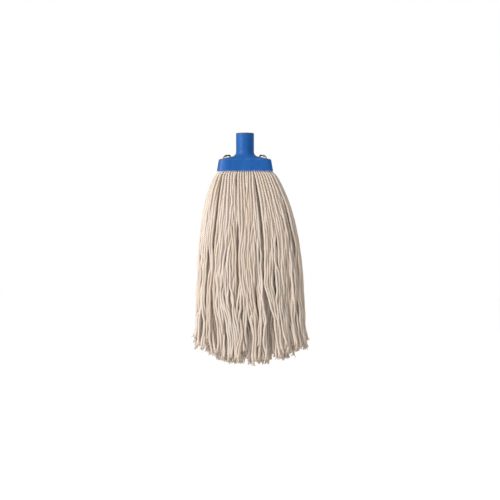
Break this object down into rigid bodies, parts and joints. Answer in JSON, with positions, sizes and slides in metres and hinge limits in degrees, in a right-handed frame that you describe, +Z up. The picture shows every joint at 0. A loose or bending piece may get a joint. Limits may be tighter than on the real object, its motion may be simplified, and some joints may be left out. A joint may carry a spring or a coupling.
{
  "type": "string mop",
  "caption": "String mop head: a moulded hood socket with a round handle bore, a retaining bar held by wire ties, and cotton yarn folded over the bar that hangs in a front and a back curtain.",
  "frame": {"origin": "centre of the handle bore's mouth, on top of the socket's neck", "axes": "+Z up along the handle bore, X along the hood's length, -Y is the front"},
  "size_m": [0.1911, 0.0636, 0.4121],
  "materials": {
    "socket_plastic": "satin, moulded in blue",
    "zinc_steel": "dull galvanised",
    "cotton_yarn": "natural undyed cotton, plied"
  },
  "bodies": {
    "head": {"socket": "socket_plastic", "retaining_bar": "zinc_steel", "tie_wire_left": "zinc_steel", "tie_wire_right": "zinc_steel", "fold_hank_1": "cotton_yarn", "fold_hank_2": "cotton_yarn", "fold_hank_3": "cotton_yarn", "fold_hank_4": "cotton_yarn", "fold_hank_5": "cotton_yarn", "fold_hank_6": "cotton_yarn", "fold_hank_7": "cotton_yarn", "fold_hank_8": "cotton_yarn"},
    "front_yarn": {"front_hank_1": "cotton_yarn", "front_hank_2": "cotton_yarn", "front_hank_3": "cotton_yarn", "front_hank_4": "cotton_yarn", "front_hank_5": "cotton_yarn", "front_hank_6": "cotton_yarn", "front_hank_7": "cotton_yarn", "front_hank_8": "cotton_yarn"},
    "back_yarn": {"back_hank_1": "cotton_yarn", "back_hank_2": "cotton_yarn", "back_hank_3": "cotton_yarn", "back_hank_4": "cotton_yarn", "back_hank_5": "cotton_yarn", "back_hank_6": "cotton_yarn", "back_hank_7": "cotton_yarn", "back_hank_8": "cotton_yarn"}
  },
  "joints": [
    {"name": "front_yarn_swing", "type": "hinge", "parent": "head", "child": "front_yarn", "pos_m": [0, -0.017, -0.0675], "axis": [-1, 0, 0], "range_deg": [0, 60]},
    {"name": "back_yarn_swing", "type": "hinge", "parent": "head", "child": "back_yarn", "pos_m": [0, 0.017, -0.0675], "axis": [1, 0, 0], "range_deg": [0, 60]}
  ]
}
